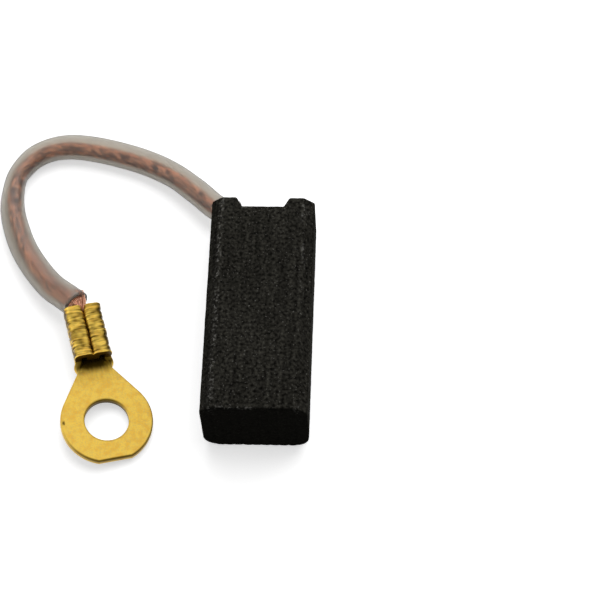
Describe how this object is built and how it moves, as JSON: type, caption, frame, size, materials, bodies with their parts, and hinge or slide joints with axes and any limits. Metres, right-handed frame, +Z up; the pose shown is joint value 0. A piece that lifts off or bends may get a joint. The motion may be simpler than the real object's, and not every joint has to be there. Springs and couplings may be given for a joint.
{
  "type": "carbon brush",
  "caption": "Carbon motor brush: grooved rectangular graphite block with a sleeved copper lead that ends in a crimped brass ring terminal.",
  "frame": {"origin": "on the surface, under the middle of the block, which lies on a wide face", "axes": "+X across the block's width, +Y along the block from the contact face to the grooved rear, where the lead leaves, +Z up through its thickness; the contact face looks along -Y"},
  "size_m": [0.0318, 0.0362, 0.008],
  "materials": {
    "carbon": "pressed and ground carbon-graphite, matt with a faint sparkle",
    "tamping": "tamped copper-graphite powder",
    "copper": "bare copper flex of fine strands",
    "sleeve": "clear soft silicone sleeve",
    "brass": "stamped brass sheet"
  },
  "bodies": {
    "root": {"carbon_block": "carbon", "tamping_plug": "tamping", "copper_flex": "copper", "sleeve": "sleeve", "ring_terminal": "brass"}
  },
  "joints": []
}
